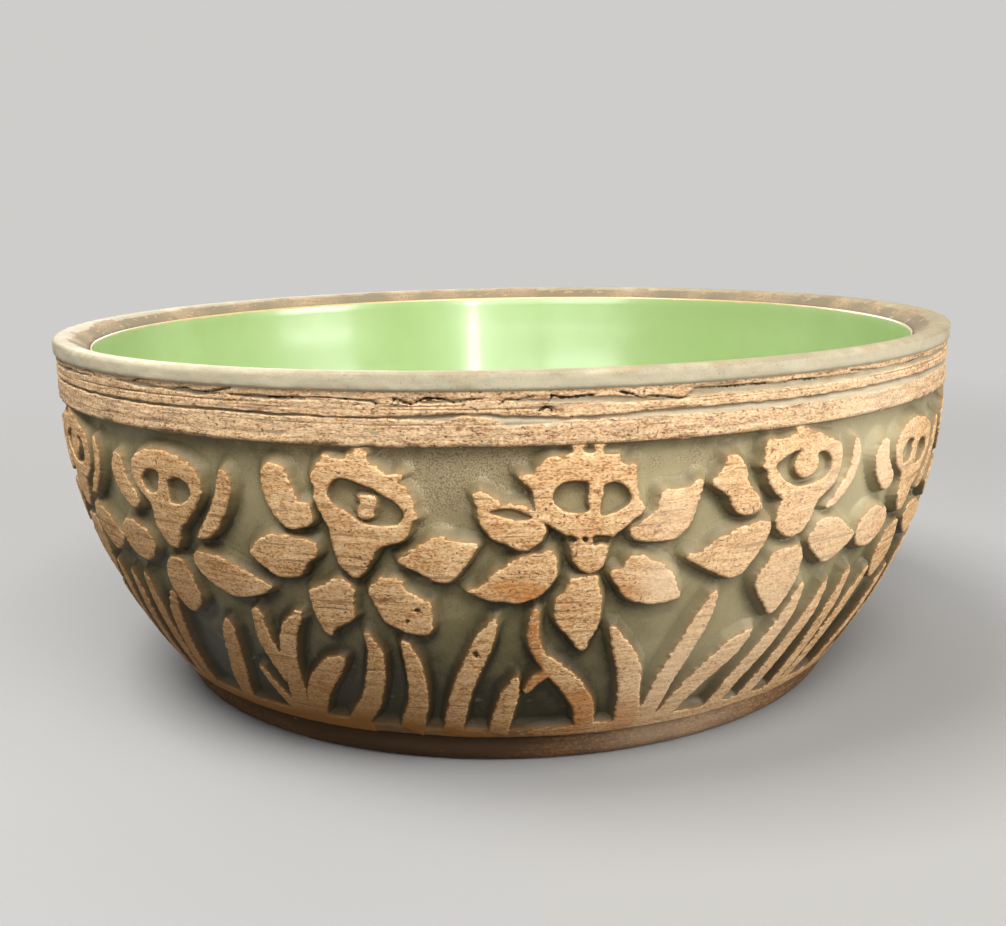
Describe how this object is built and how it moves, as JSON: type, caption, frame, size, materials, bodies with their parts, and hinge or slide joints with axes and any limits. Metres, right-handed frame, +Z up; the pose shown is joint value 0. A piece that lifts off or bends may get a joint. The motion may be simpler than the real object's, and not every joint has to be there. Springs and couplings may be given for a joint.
{
  "type": "bulb bowl",
  "caption": "Round open stoneware bowl for forcing bulbs, with a turned collar, a low foot ring and a moulded relief frieze of daffodils above tall leaves.",
  "frame": {"origin": "centre of the foot's underside, on the surface that the bowl stands on", "axes": "+Z up along the bowl's turning axis, -Y towards the viewer of the picture, +X to the right"},
  "size_m": [0.19, 0.19, 0.073],
  "materials": {
    "sage_glaze": "satin sage-green glaze, darker in the hollows",
    "collar_stoneware": "thin worn glaze over tan clay, with scored lines",
    "foot_stoneware": "matt brown clay",
    "bare_stoneware": "matt tan clay, scraped flat across the tops",
    "lining_glaze": "glossy pale green glaze"
  },
  "bodies": {
    "root": {"bowl_wall": "sage_glaze", "rim_collar": "collar_stoneware", "foot_ring": "foot_stoneware", "interior_glaze": "lining_glaze", "daffodil_petals_01": "bare_stoneware", "daffodil_petals_02": "bare_stoneware", "daffodil_petals_03": "bare_stoneware", "daffodil_petals_04": "bare_stoneware", "daffodil_petals_05": "bare_stoneware", "daffodil_petals_06": "bare_stoneware", "daffodil_petals_07": "bare_stoneware", "daffodil_petals_08": "bare_stoneware", "daffodil_petals_09": "bare_stoneware", "daffodil_petals_10": "bare_stoneware", "daffodil_petals_11": "bare_stoneware", "daffodil_petals_12": "bare_stoneware", "daffodil_petals_13": "bare_stoneware", "daffodil_petals_14": "bare_stoneware", "daffodil_petals_15": "bare_stoneware", "daffodil_petals_16": "bare_stoneware", "daffodil_trumpet_01": "bare_stoneware", "daffodil_trumpet_02": "bare_stoneware", "daffodil_trumpet_03": "bare_stoneware", "daffodil_trumpet_04": "bare_stoneware", "daffodil_trumpet_05": "bare_stoneware", "daffodil_trumpet_06": "bare_stoneware", "daffodil_trumpet_07": "bare_stoneware", "daffodil_trumpet_08": "bare_stoneware", "daffodil_trumpet_09": "bare_stoneware", "daffodil_trumpet_10": "bare_stoneware", "daffodil_trumpet_11": "bare_stoneware", "daffodil_trumpet_12": "bare_stoneware", "daffodil_trumpet_13": "bare_stoneware", "daffodil_trumpet_14": "bare_stoneware", "daffodil_trumpet_15": "bare_stoneware", "daffodil_trumpet_16": "bare_stoneware", "leaf_clump_01": "bare_stoneware", "leaf_clump_02": "bare_stoneware", "leaf_clump_03": "bare_stoneware", "leaf_clump_04": "bare_stoneware", "leaf_clump_05": "bare_stoneware", "leaf_clump_06": "bare_stoneware", "leaf_clump_07": "bare_stoneware", "leaf_clump_08": "bare_stoneware", "leaf_clump_09": "bare_stoneware", "leaf_clump_10": "bare_stoneware", "leaf_clump_11": "bare_stoneware", "leaf_clump_12": "bare_stoneware", "leaf_clump_13": "bare_stoneware", "leaf_clump_14": "bare_stoneware", "leaf_clump_15": "bare_stoneware", "leaf_clump_16": "bare_stoneware"}
  },
  "joints": []
}
